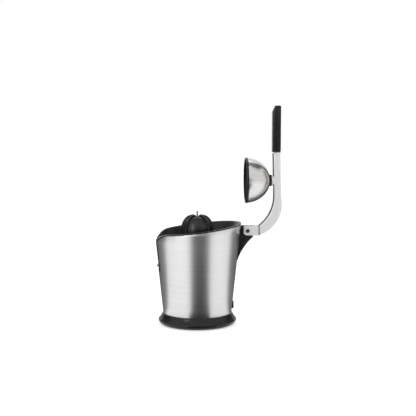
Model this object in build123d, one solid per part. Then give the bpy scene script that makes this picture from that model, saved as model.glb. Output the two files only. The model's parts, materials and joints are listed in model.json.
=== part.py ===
from build123d import *
import math
import os

# Electric lever citrus juicer, in millimetres.
# The origin is on the drive axis at table height, +X towards the lever's hinge, -X towards the spout.

# Clearances
SEAT = 0.05  # between a lift-off piece and its seat
RUN = 0.05  # radial, round shafts and pins
FREE = 0.3  # round pieces that swing or lift
LOOSE = 1.0  # round pieces that pass with room
PANEL = 0.15  # round a panel in its opening

# Body of the juicer
FOOT_R = 77.7
FLARE_R = 86.3
FLARE_Z = 11.0
FLARE_BULGE = 1.8
SKIRT_HOLLOW = 0.3
SEAM_Z = 25.0
SEAM_R = 75.7
SHOULDER = 1.5
TAPER = math.tan(math.radians(6.03))
SLEEVE_WALL = 1.0
RIM_Z = 210.5
SLANT_DEG = 6.8
LIP = 2.5
DIP_X = -64.0
DIP_R = 31.0
ROUNDNESS = 0.5523  # handle length that makes a smooth curve a quarter ellipse

# Foot
RUBBER_H = 2.5
RUBBER_IN_R = 62.0
RUBBER_OUT_R = 72.0
TABLE_GAP = 1.0
COVER_R = 74.0
COVER_H = 3.0
RING_WALL = 3.0
SPIGOT_H = 8.0
VENTS = 16
VENT_R = 30.0
VENT_LONG = 16.0
VENT_WIDE = 3.0
POST_R = 5.0
POST_ANGLES = (150.0, 240.0, 330.0)
POST_RING_R = 54.0
SCREW_R = 1.75
SCREW_HEAD_R = 3.4
SCREW_HEAD_H = 1.8
COVER_SCREW_LONG = 14.0

# Well that holds the bowl
WELL_R = 73.0
WELL_WALL = 3.0
WELL_FLOOR_Z = 121.0
WELL_FLOOR_H = 3.0
RIM_SOLID = 12.0
FUNNEL_R = 77.0
TOWER_R = 9.0
TOWER_TOP_Z = 146.0
NOTCH_HALF = 28.0
NOTCH_Z = 116.0
NOTCH_ROUND = 16.0
SLOT_MARGIN = 3.0
SLOT_BAR = 7.0
FRAME_WALL = 3.0

# Juice bowl
BOWL_WALL = 2.2
BOWL_UNDER_Z = 134.6
BOWL_FOOT_R = 58.7
BOWL_LEDGE_R = 64.0
BOWL_LEDGE_Z = 177.2
BOWL_CORNER_R = 12.0
COLLAR_R = 71.0
FLANGE_R = 75.0
FLANGE_Z = 188.0
TUBE_R = 12.0
TUBE_WALL = 2.0
TUBE_TOP_Z = 164.0
SPOUT_HALF = 13.0
SPOUT_TOP_X = -73.0
SPOUT_LOW_X = -67.5
SPOUT_TOP_Z = 181.0
OUTLET_LONG = 7.0

# Drip stop
HINGE_X = -59.0
HINGE_Z = 131.3
HINGE_PIN_R = 1.5
HINGE_BOSS_R = 3.2
TONGUE_TIP_X = -90.0
TONGUE_HALF = 9.0
TONGUE_H = 2.4
TONGUE_RIM = 2.6
PAD_H = 3.0
TAIL_X = -43.0
BUMPER_R = 2.6
RIVET_R = 1.4
RIVET_LOW_Z = 126.5
EAR_WALL = 2.5

# Strainer
STRAINER_WALL = 0.8
STRAINER_FLANGE_R = 68.0
STRAINER_MOUTH_R = 61.0
STRAINER_DEPTH = 27.0
STRAINER_KNEE_R = 52.5
STRAINER_KNEE_DROP = 14.0
STRAINER_FLOOR_R = 36.0
STRAINER_BEND = 0.6  # share of the way from the knee down to the floor
STRAINER_BELLY = 0.5
STRAINER_COLLAR_H = 4.5
STRAINER_SLOTS = 24
SLOT_IN_R = 18.5
SLOT_OUT_R = 34.0
SLOT_WIDE = 1.8

# Cones
CONE_TOP_Z = 232.0
CONE_BASE_Z = 178.0
CONE_R = 27.0
CONE_WALL = 3.0
CONE_RIBS = 8
CONE_RIB_H = 0.9
CONE_RIB_W = 3.0
CUP_R = 38.0
CUP_WALL = 2.5
CUP_TOP_Z = 180.0
CUP_UNDER_Z = 160.0
CUP_LOW_R = 30.0
TROUGH_Z = 176.9
HUB_WALL = 2.6
HUB_LOW_Z = 168.0
WING_R = 55.0
WING_HALF = 6.0
WING_H = 3.0
WING_TIP_RISE = 4.0
REAMER_R = 36.3
REAMER_SKIRT_R = 33.0
REAMER_STEP_H = 8.0
REAMER_SIDE_H = 30.0
REAMER_H = 65.0
REAMER_CROWN_R = 12.0
REAMER_DIMPLE = 3.0
REAMER_FIN_H = 8.0
REAMER_FIN_W = 3.0
REAMER_RIB_H = 3.6
REAMER_RIB_W = 2.6

# Drive
POST_TOP_Z = 222.0
DRIVE_R = 7.9
DRIVE_FLAT = 6.9
DRIVE_FLATS = 3
DRIVE_LOW_Z = 149.0
SHAFT_R = 5.5
SHAFT_TOP_Z = 216.0
HEX_FLATS = 9.0
SHAFT_END_R = 4.0
SHAFT_END_Z = 77.0
HEX_LOW_Z = 84.2
CLIP_R = 6.5
CLIP_H = 2.5
BUSH_R = 7.5
SEAL_H = 3.0
GEARBOX_Z = 84.0
GEARBOX_H = 31.0
GEARBOX_WALL = 2.5
GEARBOX_FLOOR = 3.0
GEARBOX_SCREW_ANGLES = (180.0, 255.0, 330.0)
PLATE_H = WELL_FLOOR_Z - WELL_FLOOR_H - GEARBOX_Z - GEARBOX_H
MODULE = 1.0
PRESSURE = math.radians(25)
ADDENDUM = 0.9
DEDENDUM = 1.15
BACKLASH = 0.14
FLANK_STEPS = (0.0, 0.45, 1.0)  # points up the side of a tooth
OUTPUT_TEETH = 60
PINION_TEETH = 12
WHEEL_TEETH = 42
OUTPUT_GEAR_Z = 96.0
GEAR_WIDE = 7.0
WHEEL_Z = 105.5
HUB_R = 9.0
COMPOUND_DEG = 22.0
MOTOR_DEG = 94.5
AXLE_R = 2.0
COMPOUND_HUB_R = 4.0
MOTOR_R = 26.0
MOTOR_H = 52.0
MOTOR_WALL = 1.5
MOTOR_SHAFT_R = 3.0
ROTOR_R = 15.0
ROTOR_GAP = 0.8
STACK_Z = 43.0
STACK_H = 30.0
GUIDE_R = 12.0
GUIDE_BORE_R = 9.5
GUIDE_LOW_Z = 60.0
GUIDE_FLOOR = 3.0
PLUNGER_TOP_Z = 81.0
PLUNGER_H = 8.0
STEM_R = 3.0
STEM_END_Z = 58.5
SPRING_R = 7.0
SPRING_WIRE = 1.6
SWITCH_LONG = 24.0
SWITCH_WIDE = 10.0
SWITCH_H = 10.0
SWITCH_Z = 44.0
BUTTON_R = 2.0
BUTTON_DEEP = 5.0
TRAVEL = 2.5
BRACKET_T = 2.0
BRACKET_FLANGE = 11.0

# Cord gland
GLAND_Z = 41.0
GLAND_BORE_R = 3.6
GLAND_R = 6.5
GLAND_FLANGE_R = 8.5
GLAND_INSIDE = 13.0
GLAND_OUTSIDE = 3.0

# Lever hinge
PIVOT_X = 110.5
PIVOT_Z = 207.0
PIN_R = 3.5
LUG_R = 10.0
LUG_HALF = 7.0
FORK_R = 10.4
FORK_HALF = 12.5
FORK_BRIDGE = 12.5
FORK_END_X = 134.6
BRACKET_HALF = 13.0
BRACKET_SHELF_X = 122.0
BRACKET_SHELF_H = 3.0
BRACKET_TOE_Z = 142.0
BRACKET_TOP_Z = 218.0
BRACKET_BITE = 9.0
BRACKET_HOLLOW = 7.0
NECK_LEDGE = 2.0
BRACKET_SCREW_Y = 8.0
BRACKET_SCREW_Z = 182.0
BRACKET_SCREW_LONG = 17.0
BRACKET_SCREW_R = 2.5
BRACKET_HEAD_R = 4.2
BRACKET_HEAD_H = 3.5
PIVOT_HEAD_R = 4.2
PIVOT_HEAD_H = 2.0
PIVOT_THREAD_R = 1.8
PIVOT_THREAD_LONG = 7.0

# Lever arm
SPACER = 1.5
ARM_HALF = 11.0
ARM_ROUND = 2.5
ARM_BEND_Z = 284.0
ARM_TOP_Z = 376.0
ARM_OUT_X = 184.0
ARM_DEEP = 15.0
ARM_LEAN = 2.0
ARM_TOP_DEEP = 14.5
ARM_IN_BOW = (21.4 / 32.9, 23.6 / 66.6)
ARM_OUT_BOW = (30.9 / 47.9, 19.9 / 87.4)
STRIP_HALF = 7.5
STRIP_T = 1.2
BAND_H = 4.0
BAND_STEP = 0.6
TANG_HALF = 6.0
TANG_SET = 6.5
TANG_DEEP = 5.5
TANG_SHORT = 31.0
GRIP_HALF = 13.0
GRIP_LONG = 101.0
GRIP_FRONT = 2.4
GRIP_LIP = 2.3
GRIP_BACK = 1.1
GRIP_SLOPE = 14.0
GRIP_ROUND = 3.0
GRIP_SCREWS = 2
FORK_BOLT_R = 3.0
FORK_BOLT_HEAD_R = 5.0
FORK_BOLT_LONG = 26.0

# Press dome, on an axis that turns onto the drive axis
DOME_UP = PIVOT_X
DOME_R = 49.5
DOME_H = 55.0
DOME_WALL = 1.0
LINER_WALL = 2.2
DOME_BAND_H = 4.5
DOME_BAND_R = 50.0
NECK_COLLAR_R = 12.8
NECK_COLLAR_H = 2.5
NECK_R = 11.5
NECK_LONG = 5.9
DOME_SCREW_R = 2.5
DOME_SCREW_HEAD_R = 5.0
DOME_SCREW_HEAD_H = 2.0
DOME_SCREW_LONG = 20.0

SLANT = math.radians(SLANT_DEG)
REACH = 2 * SEAM_R
TALL = RIM_Z + REACH * math.tan(SLANT) + 2 * DIP_R
COVER_Z = RUBBER_H
COVER_TOP_Z = COVER_Z + COVER_H
SLOT_HALF = SPOUT_HALF + SLOT_MARGIN
SLOT_Z = NOTCH_Z + SLOT_BAR
OUTPUT_DISTANCE = MODULE * (OUTPUT_TEETH + PINION_TEETH) / 2
WHEEL_DISTANCE = MODULE * (WHEEL_TEETH + PINION_TEETH) / 2
COMPOUND_X = OUTPUT_DISTANCE * math.cos(math.radians(COMPOUND_DEG))
COMPOUND_Y = OUTPUT_DISTANCE * math.sin(math.radians(COMPOUND_DEG))
MOTOR_X = COMPOUND_X + WHEEL_DISTANCE * math.cos(math.radians(COMPOUND_DEG + MOTOR_DEG))
MOTOR_Y = COMPOUND_Y + WHEEL_DISTANCE * math.sin(math.radians(COMPOUND_DEG + MOTOR_DEG))
PLATE_Z = GEARBOX_Z + GEARBOX_H
HEX_TOP_Z = PLATE_Z + PLATE_H + TRAVEL + LOOSE
DOME_Z = PIVOT_Z + DOME_UP
ARM_IN_X = ARM_OUT_X - ARM_DEEP
ARM_TOP_IN_X = ARM_IN_X - ARM_LEAN
ARM_TOP_OUT_X = ARM_TOP_IN_X + ARM_TOP_DEEP
TANG_IN_X = ARM_TOP_IN_X + TANG_SET
TANG_OUT_X = TANG_IN_X + TANG_DEEP
TANG_H = GRIP_LONG - TANG_SHORT
GRIP_IN_X = ARM_TOP_IN_X - GRIP_FRONT
GRIP_SPLIT_X = TANG_IN_X - GRIP_LIP
GRIP_OUT_X = ARM_TOP_OUT_X + GRIP_BACK
GRIP_TOP_Z = ARM_TOP_Z + BAND_H + GRIP_LONG
NECK_COLLAR_END = DOME_H + NECK_COLLAR_H
MOUTH_X = ARM_IN_X - NECK_LONG - NECK_COLLAR_END
REAMER_Z = TROUGH_Z + SEAT
STRAINER_Z = BOWL_LEDGE_Z + SEAT


def body_r(z):
    """Outer radius of the steel sleeve at a height."""
    return SEAM_R + TAPER * (z - SEAM_Z)


def rim_z(x):
    """Height of the steel's slanted top edge."""
    return RIM_Z + x * math.tan(SLANT)


def frustum(grow, low, high):
    """A solid of the body's taper, grown outwards."""
    return Pos(0, 0, (low + high) / 2) * Cone(body_r(low) + grow, body_r(high) + grow, high - low)


def rod(radius, low, high, x=0.0, y=0.0):
    """An upright cylinder between two heights."""
    return Pos(x, y, (low + high) / 2) * Cylinder(radius, high - low)


def tube(outer, inner, low, high, x=0.0, y=0.0):
    """An upright tube between two heights."""
    return rod(outer, low, high, x, y) - rod(inner, low, high, x, y)


def block(x0, x1, half_y, z0, z1):
    """A box that is centred on the plane of symmetry."""
    return Pos((x0 + x1) / 2, 0, (z0 + z1) / 2) * Box(x1 - x0, 2 * half_y, z1 - z0)


def side_plate(outline, half_y):
    """A plate from an outline in X and Z, centred on the plane of symmetry."""
    return extrude(Plane.XZ * outline, amount=half_y, both=True)


def along_x(radius, start, end, y, z):
    """A cylinder that lies along X."""
    return Pos((start + end) / 2, y, z) * Rot(0, 90, 0) * Cylinder(radius, end - start)


def along_y(radius, half_y, x, z):
    """A cylinder that lies along Y, centred on the plane of symmetry."""
    return Pos(x, 0, z) * Rot(90, 0, 0) * Cylinder(radius, 2 * half_y)


def slant_plane(z):
    """A plane parallel to the slanted rim that crosses the axis at a height."""
    return Plane(
        origin=(0, 0, z),
        x_dir=(math.cos(SLANT), 0, math.sin(SLANT)),
        z_dir=(-math.sin(SLANT), 0, math.cos(SLANT)),
    )


def above_slant(z):
    """Everything above a slanted plane."""
    return slant_plane(z).location * Pos(0, 0, TALL / 2) * Box(2 * REACH, 2 * REACH, TALL)


def rim_above(offset):
    """Everything above the top edge, a slanted line that bends down at the spout."""
    up = Vector(-math.sin(SLANT), math.cos(SLANT))
    bend = Vector(DIP_X, rim_z(DIP_X))
    centre = bend - up * DIP_R
    radius = DIP_R + offset
    start = bend + up * offset
    end = centre + Vector(-radius, 0)
    middle = centre + (up + Vector(-1, 0)).normalized() * radius
    far = Vector(REACH, rim_z(REACH)) + up * offset
    edges = [
        Line(far, start),
        ThreePointArc(start, middle, end),
        Polyline(end, (-REACH, end.Y), (-REACH, TALL), (REACH, TALL), far),
    ]
    return side_plate(make_face(edges), REACH)


def notch_prism(shrink):
    """The opening in the steel for the spout's frame, cut from the front."""
    half = NOTCH_HALF - shrink
    low = NOTCH_Z + shrink
    outline = Pos(0, (low + TALL) / 2) * Rectangle(2 * half, TALL - low)
    corners = outline.vertices().sort_by(Axis.Y)[:2]
    outline = fillet(corners, NOTCH_ROUND - shrink)
    return extrude(Plane.YZ * outline, amount=-REACH)


def slot_prism():
    """The way for the spout through the frame and the well's front wall."""
    low = SLOT_Z
    outline = Pos(0, (low + TALL) / 2) * Rectangle(2 * SLOT_HALF, TALL - low)
    outline = fillet(outline.vertices().sort_by(Axis.Y)[:2], SLOT_BAR)
    return extrude(Plane.YZ * outline, amount=-REACH) - block(-BOWL_FOOT_R, 0, REACH, 0, TALL)


def post_places():
    """Where the well's three posts stand."""
    return [Rot(0, 0, angle) * Pos(POST_RING_R, 0, 0) for angle in POST_ANGLES]


def foot_rubber():
    return tube(RUBBER_OUT_R, RUBBER_IN_R, 0, RUBBER_H)


def bottom_cover():
    cover = rod(COVER_R, COVER_Z, COVER_TOP_Z)
    vent = SlotOverall(VENT_LONG, VENT_WIDE)
    vents = Sketch() + [place * vent for place in PolarLocations(VENT_R, VENTS)]
    cover -= extrude(Pos(0, 0, COVER_Z) * vents, amount=COVER_H)
    for place in post_places():
        cover -= place * rod(SCREW_R, COVER_Z, COVER_TOP_Z)
        cover -= place * rod(SCREW_HEAD_R, COVER_Z, COVER_Z + SCREW_HEAD_H)
    return cover


def cover_screws():
    head = rod(SCREW_HEAD_R, COVER_Z, COVER_Z + SCREW_HEAD_H)
    screw = head + rod(SCREW_R, COVER_Z + SCREW_HEAD_H, COVER_Z + COVER_SCREW_LONG)
    return Compound(children=[place * screw for place in post_places()])


def base_ring():
    """The flared foot with a spigot inside the steel sleeve."""
    inner = SEAM_R - SLEEVE_WALL - RING_WALL
    pocket = COVER_R + FREE
    edges = [
        ThreePointArc((FOOT_R, TABLE_GAP), (FLARE_R - FLARE_BULGE, FLARE_Z / 2), (FLARE_R, FLARE_Z)),
        ThreePointArc(
            (FLARE_R, FLARE_Z),
            ((FLARE_R + SEAM_R) / 2 - SKIRT_HOLLOW, (FLARE_Z + SEAM_Z) / 2),
            (SEAM_R + SHOULDER, SEAM_Z),
        ),
        Polyline(
            (SEAM_R + SHOULDER, SEAM_Z),
            (inner, SEAM_Z),
            (inner, COVER_TOP_Z),
            (pocket, COVER_TOP_Z),
            (pocket, TABLE_GAP),
            (FOOT_R, TABLE_GAP),
        ),
    ]
    ring = revolve(Plane.XZ * make_face(edges), Axis.Z)
    spigot = frustum(-SLEEVE_WALL, SEAM_Z, SEAM_Z + SPIGOT_H) - rod(inner, SEAM_Z, SEAM_Z + SPIGOT_H)
    return ring + spigot


def bracket_screw_places():
    """The two screws that hold the bracket, each on the skirt's inner face."""
    radius = body_r(BRACKET_SCREW_Z) - SLEEVE_WALL - WELL_WALL / 2
    x = math.sqrt(radius**2 - BRACKET_SCREW_Y**2)
    return [(x, side * BRACKET_SCREW_Y) for side in (-1, 1)]


def steel_sleeve():
    sleeve = frustum(0, SEAM_Z, TALL) - frustum(-SLEEVE_WALL, SEAM_Z, TALL)
    sleeve -= rim_above(0)
    sleeve -= notch_prism(0)
    for x, y in bracket_screw_places():
        sleeve -= along_x(BRACKET_SCREW_R, x, x + BRACKET_SCREW_LONG, y, BRACKET_SCREW_Z)
    return sleeve - along_x(GLAND_R, 0, REACH, 0, GLAND_Z)


def spout_frame():
    frame = frustum(0, NOTCH_Z, TALL) - frustum(-FRAME_WALL, NOTCH_Z, TALL)
    frame &= notch_prism(PANEL)
    return frame - rim_above(LIP) - slot_prism()


def funnel(low_r, wall):
    """The cone between the bowl's slanted seat and the rim."""
    low = FLANGE_Z - BOWL_WALL - SEAT - wall
    high = RIM_Z + 2 * LIP
    rim_r = body_r(high)
    shift = rim_r * TAPER * math.tan(SLANT)
    lower = slant_plane(low) * Circle(low_r)
    upper = slant_plane(high) * Pos(shift, 0) * Circle(rim_r - SLEEVE_WALL - WELL_WALL + wall)
    return loft([lower, upper], ruled=True)


def top_well():
    """The black well with its rim lip, a skirt inside the steel and three posts."""
    under = WELL_FLOOR_Z - WELL_FLOOR_H
    well = frustum(-SLEEVE_WALL, under, TALL) - rim_above(LIP)
    lip = frustum(0, FLANGE_Z - DIP_R, TALL) & (rim_above(0) - rim_above(LIP))
    well += lip
    void = frustum(-SLEEVE_WALL - WELL_WALL, under, TALL) - rim_above(-RIM_SOLID)
    void -= rod(WELL_R + WELL_WALL, under, TALL)
    void -= funnel(FUNNEL_R + WELL_WALL, WELL_WALL)
    void -= block(-REACH, -BOWL_FOOT_R, SLOT_HALF + WELL_WALL, under, TALL)
    well -= void
    well -= rod(WELL_R, WELL_FLOOR_Z, TALL)
    well -= funnel(FUNNEL_R, 0)
    frame_room = notch_prism(0) - frustum(-FRAME_WALL, NOTCH_Z, TALL)
    well -= frame_room
    well -= slot_prism()
    well += rod(TOWER_R, WELL_FLOOR_Z, TOWER_TOP_Z)
    for place in post_places():
        well += place * rod(POST_R, COVER_TOP_Z, under)
        well -= place * rod(SCREW_R, COVER_TOP_Z, COVER_Z + COVER_SCREW_LONG)
    well -= rod(BUSH_R, under, TOWER_TOP_Z)
    for place in gearbox_screw_places():
        well -= place * rod(SCREW_R, under, WELL_FLOOR_Z - LOOSE)
    for x, y in bracket_screw_places():
        well -= along_x(BRACKET_HEAD_R, x - BRACKET_HEAD_H, x, y, BRACKET_SCREW_Z)
        well -= along_x(BRACKET_SCREW_R, x, x + BRACKET_SCREW_LONG, y, BRACKET_SCREW_Z)
    return well


def shaft_bush():
    return tube(BUSH_R, SHAFT_R + RUN, WELL_FLOOR_Z - WELL_FLOOR_H, TOWER_TOP_Z - SEAL_H)


def shaft_seal():
    return tube(BUSH_R, SHAFT_R + RUN, TOWER_TOP_Z - SEAL_H, TOWER_TOP_Z)


def hinge_bracket():
    """The rear bracket: a wedge with a stop shelf, and a lug for the pivot."""
    shelf_z = PIVOT_Z - FORK_R - SEAT
    toe_x = body_r(BRACKET_TOE_Z)
    back_x = toe_x - BRACKET_BITE
    low = shelf_z - BRACKET_SHELF_H
    hollow = ((BRACKET_SHELF_X + toe_x) / 2, (low + BRACKET_TOE_Z) / 2 + BRACKET_HOLLOW)
    wedge = [
        Polyline((back_x, BRACKET_TOE_Z), (back_x, shelf_z), (BRACKET_SHELF_X, shelf_z)),
        Line((BRACKET_SHELF_X, shelf_z), (BRACKET_SHELF_X, low)),
        ThreePointArc((BRACKET_SHELF_X, low), hollow, (toe_x, BRACKET_TOE_Z)),
        Line((toe_x, BRACKET_TOE_Z), (back_x, BRACKET_TOE_Z)),
    ]
    bracket = side_plate(make_face(wedge), BRACKET_HALF)
    neck = Polyline(
        (back_x, shelf_z),
        (back_x, BRACKET_TOP_Z),
        (body_r(BRACKET_TOP_Z) + NECK_LEDGE, BRACKET_TOP_Z),
        (PIVOT_X, PIVOT_Z + LUG_R),
        (PIVOT_X, shelf_z),
        close=True,
    )
    bracket += side_plate(make_face(neck), LUG_HALF)
    bracket += along_y(LUG_R, LUG_HALF, PIVOT_X, PIVOT_Z)
    bracket -= frustum(0, SEAM_Z, TALL)
    bracket -= along_y(PIN_R + RUN, LUG_HALF, PIVOT_X, PIVOT_Z)
    for x, y in bracket_screw_places():
        bracket -= along_x(BRACKET_SCREW_R, x, x + BRACKET_SCREW_LONG, y, BRACKET_SCREW_Z)
    return bracket


def bracket_screws():
    screws = []
    for x, y in bracket_screw_places():
        head = along_x(BRACKET_HEAD_R, x - BRACKET_HEAD_H, x, y, BRACKET_SCREW_Z)
        screws.append(head + along_x(BRACKET_SCREW_R, x, x + BRACKET_SCREW_LONG, y, BRACKET_SCREW_Z))
    return Compound(children=screws)


def cord_gland():
    wall_x = body_r(GLAND_Z)
    gland = along_x(GLAND_R, wall_x - GLAND_INSIDE, wall_x + GLAND_OUTSIDE, 0, GLAND_Z)
    flange = along_x(GLAND_FLANGE_R, wall_x - GLAND_INSIDE / 2, wall_x + GLAND_OUTSIDE, 0, GLAND_Z)
    gland += flange - frustum(0, SEAM_Z, GLAND_Z + 2 * GLAND_FLANGE_R)
    return gland - along_x(GLAND_BORE_R, wall_x - GLAND_INSIDE, wall_x + GLAND_OUTSIDE, 0, GLAND_Z)


def gear_face(teeth, tooth_deg):
    """An involute gear's outline with one tooth centred at an angle."""
    pitch_r = MODULE * teeth / 2
    base_r = pitch_r * math.cos(PRESSURE)
    root_r = pitch_r - DEDENDUM
    tip_r = pitch_r + ADDENDUM
    low_r = max(base_r, root_r)
    half = math.pi / (2 * teeth) - BACKLASH / (2 * pitch_r)
    half += math.tan(PRESSURE) - PRESSURE
    flank = []
    for step in FLANK_STEPS:
        radius = low_r + (tip_r - low_r) * step
        turn = math.acos(base_r / radius)
        flank.append((radius, half - math.tan(turn) + turn))
    if root_r < base_r:
        flank.insert(0, (root_r, flank[0][1]))
    points = []
    for tooth in range(teeth):
        middle = math.radians(tooth_deg) + 2 * math.pi * tooth / teeth
        points += [(r, middle - turn) for r, turn in flank]
        points += [(r, middle + turn) for r, turn in reversed(flank)]
    return make_face(Polyline(*[(r * math.cos(t), r * math.sin(t)) for r, t in points], close=True))


def gear(teeth, tooth_deg, low, wide):
    """A spur gear on the axis."""
    return extrude(Pos(0, 0, low) * gear_face(teeth, tooth_deg), amount=wide)


def gearbox_outline(grow):
    """The outline round all three gear axes."""
    circles = [
        Circle(MODULE * OUTPUT_TEETH / 2 + grow),
        Pos(COMPOUND_X, COMPOUND_Y) * Circle(MODULE * WHEEL_TEETH / 2 + grow),
        Pos(MOTOR_X, MOTOR_Y) * Circle(MOTOR_R - 2 * LOOSE + grow),
    ]
    return make_hull([edge for circle in circles for edge in circle.edges()])


def gearbox_screw_places():
    """Three bosses at the gearbox's edge."""
    reach = MODULE * OUTPUT_TEETH / 2 + 2 * LOOSE + GEARBOX_WALL + POST_R / 2
    return [Rot(0, 0, angle) * Pos(reach, 0, 0) for angle in GEARBOX_SCREW_ANGLES]


def gearbox_housing():
    """The cup round the gears, with the plunger's guide below its floor."""
    room = 2 * LOOSE
    cup = extrude(Pos(0, 0, GEARBOX_Z) * gearbox_outline(room + GEARBOX_WALL), amount=GEARBOX_H)
    for place in gearbox_screw_places():
        cup += place * rod(POST_R, GEARBOX_Z, PLATE_Z)
    inner_z = GEARBOX_Z + GEARBOX_FLOOR
    cup -= extrude(Pos(0, 0, inner_z) * gearbox_outline(room), amount=GEARBOX_H)
    cup += rod(GUIDE_R, GUIDE_LOW_Z, GEARBOX_Z)
    cup -= rod(GUIDE_BORE_R, GUIDE_LOW_Z + GUIDE_FLOOR, GEARBOX_Z)
    cup -= rod(STEM_R + FREE, GUIDE_LOW_Z, GEARBOX_Z)
    cup -= rod(HUB_R + RUN, GEARBOX_Z, inner_z)
    cup -= rod(AXLE_R, GEARBOX_Z, inner_z, COMPOUND_X, COMPOUND_Y)
    cup -= rod(MOTOR_SHAFT_R + LOOSE, GEARBOX_Z, inner_z, MOTOR_X, MOTOR_Y)
    for place in gearbox_screw_places():
        cup -= place * rod(SCREW_R, GEARBOX_Z, PLATE_Z)
    return cup


def gear_plate():
    """The plate between the gearbox and the well's floor."""
    top = PLATE_Z + PLATE_H
    plate = extrude(Pos(0, 0, PLATE_Z) * gearbox_outline(2 * LOOSE + GEARBOX_WALL), amount=PLATE_H)
    for place in gearbox_screw_places():
        plate += place * rod(POST_R, PLATE_Z, top)
        plate -= place * rod(SCREW_R, PLATE_Z, top)
    plate -= rod(HUB_R + RUN, PLATE_Z, top)
    plate -= rod(AXLE_R, PLATE_Z, top, COMPOUND_X, COMPOUND_Y)
    return plate - rod(MOTOR_SHAFT_R + LOOSE, PLATE_Z, top, MOTOR_X, MOTOR_Y)


def gearbox_screws():
    screw = rod(SCREW_R, GEARBOX_Z, WELL_FLOOR_Z - LOOSE)
    screw += rod(SCREW_HEAD_R, GEARBOX_Z - SCREW_HEAD_H, GEARBOX_Z)
    return Compound(children=[place * screw for place in gearbox_screw_places()])


def compound_axle():
    return rod(AXLE_R, GEARBOX_Z, PLATE_Z + PLATE_H, COMPOUND_X, COMPOUND_Y)


def output_gear():
    """The last gear, whose hub runs in the floor and the plate and drives the shaft's hexagon."""
    wheel = gear(OUTPUT_TEETH, COMPOUND_DEG, OUTPUT_GEAR_Z, GEAR_WIDE)
    wheel += rod(HUB_R, GEARBOX_Z + FREE, PLATE_Z + PLATE_H - FREE)
    hexagon = Pos(0, 0, GEARBOX_Z) * RegularPolygon(HEX_FLATS / 2 + FREE / 2, 6, major_radius=False)
    return wheel - extrude(hexagon, amount=GEARBOX_H + PLATE_H)


def compound_gear():
    """The small pinion on the output gear and the large wheel on the motor's pinion, in one piece."""
    facing = COMPOUND_DEG + 180 + 180 / PINION_TEETH
    low = GEARBOX_Z + GEARBOX_FLOOR + FREE
    pinion = gear(PINION_TEETH, facing, OUTPUT_GEAR_Z - LOOSE, WHEEL_Z - OUTPUT_GEAR_Z + LOOSE)
    wheel = gear(WHEEL_TEETH, COMPOUND_DEG + MOTOR_DEG, WHEEL_Z, GEAR_WIDE - LOOSE)
    both = pinion + wheel + rod(COMPOUND_HUB_R, low, PLATE_Z - FREE)
    both -= rod(AXLE_R + RUN, low, PLATE_Z)
    return Pos(COMPOUND_X, COMPOUND_Y, 0) * both


def motor_pinion():
    facing = COMPOUND_DEG + MOTOR_DEG + 180 + 180 / PINION_TEETH
    pinion = gear(PINION_TEETH, facing, WHEEL_Z - LOOSE / 2, GEAR_WIDE)
    pinion -= rod(MOTOR_SHAFT_R, GEARBOX_Z, PLATE_Z)
    return Pos(MOTOR_X, MOTOR_Y, 0) * pinion


def motor_can():
    low = GEARBOX_Z - MOTOR_H
    roof = 2 * MOTOR_WALL
    can = rod(MOTOR_R, low, GEARBOX_Z) - rod(MOTOR_R - MOTOR_WALL, low, GEARBOX_Z - roof)
    can -= rod(MOTOR_SHAFT_R + RUN, low, GEARBOX_Z)
    return Pos(MOTOR_X, MOTOR_Y, 0) * can


def motor_end_cap():
    low = GEARBOX_Z - MOTOR_H
    cap = tube(MOTOR_R - MOTOR_WALL, MOTOR_SHAFT_R + RUN, low, low + 2 * MOTOR_WALL)
    return Pos(MOTOR_X, MOTOR_Y, 0) * cap


def motor_stator():
    ring = tube(MOTOR_R - MOTOR_WALL, ROTOR_R + ROTOR_GAP, STACK_Z, STACK_Z + STACK_H)
    return Pos(MOTOR_X, MOTOR_Y, 0) * ring


def motor_rotor():
    low = GEARBOX_Z - MOTOR_H
    rotor = rod(MOTOR_SHAFT_R, low, WHEEL_Z + GEAR_WIDE)
    rotor += rod(ROTOR_R, STACK_Z + LOOSE, STACK_Z + STACK_H - LOOSE)
    rotor += rod(ROTOR_R / 2, low + 3 * MOTOR_WALL, STACK_Z + LOOSE)
    return Pos(MOTOR_X, MOTOR_Y, 0) * rotor


def drive_shaft():
    shaft = rod(SHAFT_END_R, SHAFT_END_Z, HEX_LOW_Z)
    hexagon = Pos(0, 0, HEX_LOW_Z) * RegularPolygon(HEX_FLATS / 2, 6, major_radius=False)
    shaft += extrude(hexagon, amount=HEX_TOP_Z - HEX_LOW_Z)
    return shaft + rod(SHAFT_R, HEX_TOP_Z, SHAFT_TOP_Z)


def shaft_clip():
    return tube(CLIP_R, SHAFT_END_R, HEX_LOW_Z - CLIP_H, HEX_LOW_Z)


def post_face(grow):
    """The drive post's section: round with three flats."""
    face = Circle(DRIVE_R + grow)
    for index in range(DRIVE_FLATS):
        cut = Pos(DRIVE_FLAT + grow + DRIVE_R, 0) * Rectangle(2 * DRIVE_R, 3 * DRIVE_R)
        face -= Rot(0, 0, 360 * index / DRIVE_FLATS) * cut
    return face


def drive_post():
    post = extrude(Pos(0, 0, DRIVE_LOW_Z) * post_face(0), amount=POST_TOP_Z - DRIVE_LOW_Z)
    return post - rod(SHAFT_R, DRIVE_LOW_Z, SHAFT_TOP_Z)


def thrust_plunger():
    """The cup under the shaft's end, with a stem that works the switch."""
    plunger = rod(GUIDE_BORE_R - FREE, PLUNGER_TOP_Z - PLUNGER_H, PLUNGER_TOP_Z)
    plunger -= rod(SHAFT_END_R + RUN, SHAFT_END_Z - SEAT, PLUNGER_TOP_Z)
    return plunger + rod(STEM_R, STEM_END_Z, PLUNGER_TOP_Z - PLUNGER_H)


def return_spring():
    low = GUIDE_LOW_Z + GUIDE_FLOOR
    return tube(SPRING_R, SPRING_R - SPRING_WIRE, low, PLUNGER_TOP_Z - PLUNGER_H)


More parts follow.
